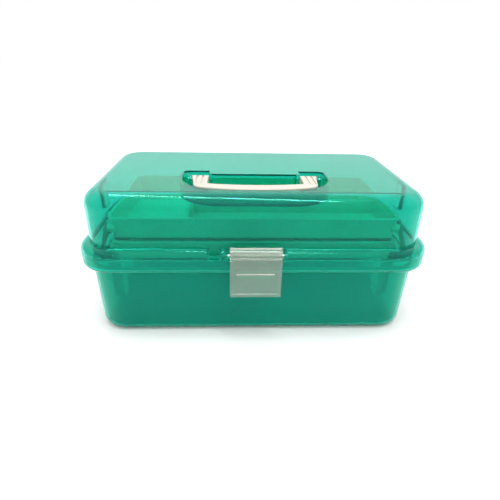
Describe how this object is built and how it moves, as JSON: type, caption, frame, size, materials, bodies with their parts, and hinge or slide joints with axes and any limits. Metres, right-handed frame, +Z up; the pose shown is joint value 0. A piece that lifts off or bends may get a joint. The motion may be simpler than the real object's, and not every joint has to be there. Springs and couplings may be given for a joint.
{
  "type": "art supply box",
  "caption": "Translucent teal folding art supply box with a domed hinged lid, white bail handle, white front latch and two rising inner trays.",
  "frame": {"origin": "middle of the flat underside that the box rests on, on the floor plane", "axes": "+Z up, -Y towards the front with the latch, +X to the right as seen from the front"},
  "size_m": [0.316, 0.1949, 0.138],
  "materials": {
    "teal_clear_plastic": "glossy",
    "green_tray_plastic": "satin",
    "white_plastic": "satin",
    "teal_arm_plastic": "glossy",
    "pin_steel": "brushed"
  },
  "bodies": {
    "base": {"base_tub": "teal_clear_plastic", "hinge_pin_left": "pin_steel", "hinge_pin_right": "pin_steel", "base_pivot_pins_left": "pin_steel", "base_pivot_pins_right": "pin_steel"},
    "lid": {"lid_shell": "teal_clear_plastic", "latch_pin": "pin_steel", "handle_pin_left": "pin_steel", "handle_pin_right": "pin_steel"},
    "handle": {"handle": "white_plastic"},
    "latch": {"latch": "white_plastic"},
    "rear_arms": {"rear_arm_left": "teal_arm_plastic", "rear_arm_right": "teal_arm_plastic"},
    "front_arms": {"front_arm_left": "teal_arm_plastic", "front_arm_right": "teal_arm_plastic"},
    "lower_tray": {"lower_tray": "green_tray_plastic", "lower_tray_pivot_pins_left": "pin_steel", "lower_tray_pivot_pins_right": "pin_steel"},
    "upper_tray": {"upper_tray": "green_tray_plastic", "tray_bracket_left": "teal_arm_plastic", "tray_bracket_right": "teal_arm_plastic", "upper_tray_pivot_pins_left": "pin_steel", "upper_tray_pivot_pins_right": "pin_steel"}
  },
  "joints": [
    {"name": "lid_hinge", "type": "hinge", "parent": "base", "child": "lid", "pos_m": [0, 0.0955, 0.083], "axis": [-1, 0, 0], "range_deg": [0, 105]},
    {"name": "rear_arm_hinge", "type": "hinge", "parent": "base", "child": "rear_arms", "pos_m": [0, 0.062, 0.0782], "axis": [-1, 0, 0], "range_deg": [0, 78.75]},
    {"name": "front_arm_hinge", "type": "hinge", "parent": "base", "child": "front_arms", "pos_m": [0, 0.022, 0.068], "axis": [-1, 0, 0], "range_deg": [0, 78.75]},
    {"name": "lower_tray_pivot", "type": "hinge", "parent": "rear_arms", "child": "lower_tray", "pos_m": [0, 0.024, 0.0782], "axis": [-1, 0, 0], "range_deg": [-78.75, 0]},
    {"name": "upper_tray_pivot", "type": "hinge", "parent": "rear_arms", "child": "upper_tray", "pos_m": [0, -0.014, 0.0782], "axis": [-1, 0, 0], "range_deg": [-78.75, 0]},
    {"name": "handle_hinge", "type": "hinge", "parent": "lid", "child": "handle", "pos_m": [0, -0.019, 0.1333], "axis": [-1, 0, 0], "range_deg": [0, 95]},
    {"name": "latch_hinge", "type": "hinge", "parent": "lid", "child": "latch", "pos_m": [0, -0.088, 0.0869], "axis": [-1, 0, 0], "range_deg": [0, 30]}
  ],
  "couplings": [
    {"joint": "rear_arm_hinge", "follows": "lid_hinge", "ratio": 0.75},
    {"joint": "front_arm_hinge", "follows": "lid_hinge", "ratio": 0.75},
    {"joint": "lower_tray_pivot", "follows": "lid_hinge", "ratio": -0.75},
    {"joint": "upper_tray_pivot", "follows": "lid_hinge", "ratio": -0.75}
  ]
}
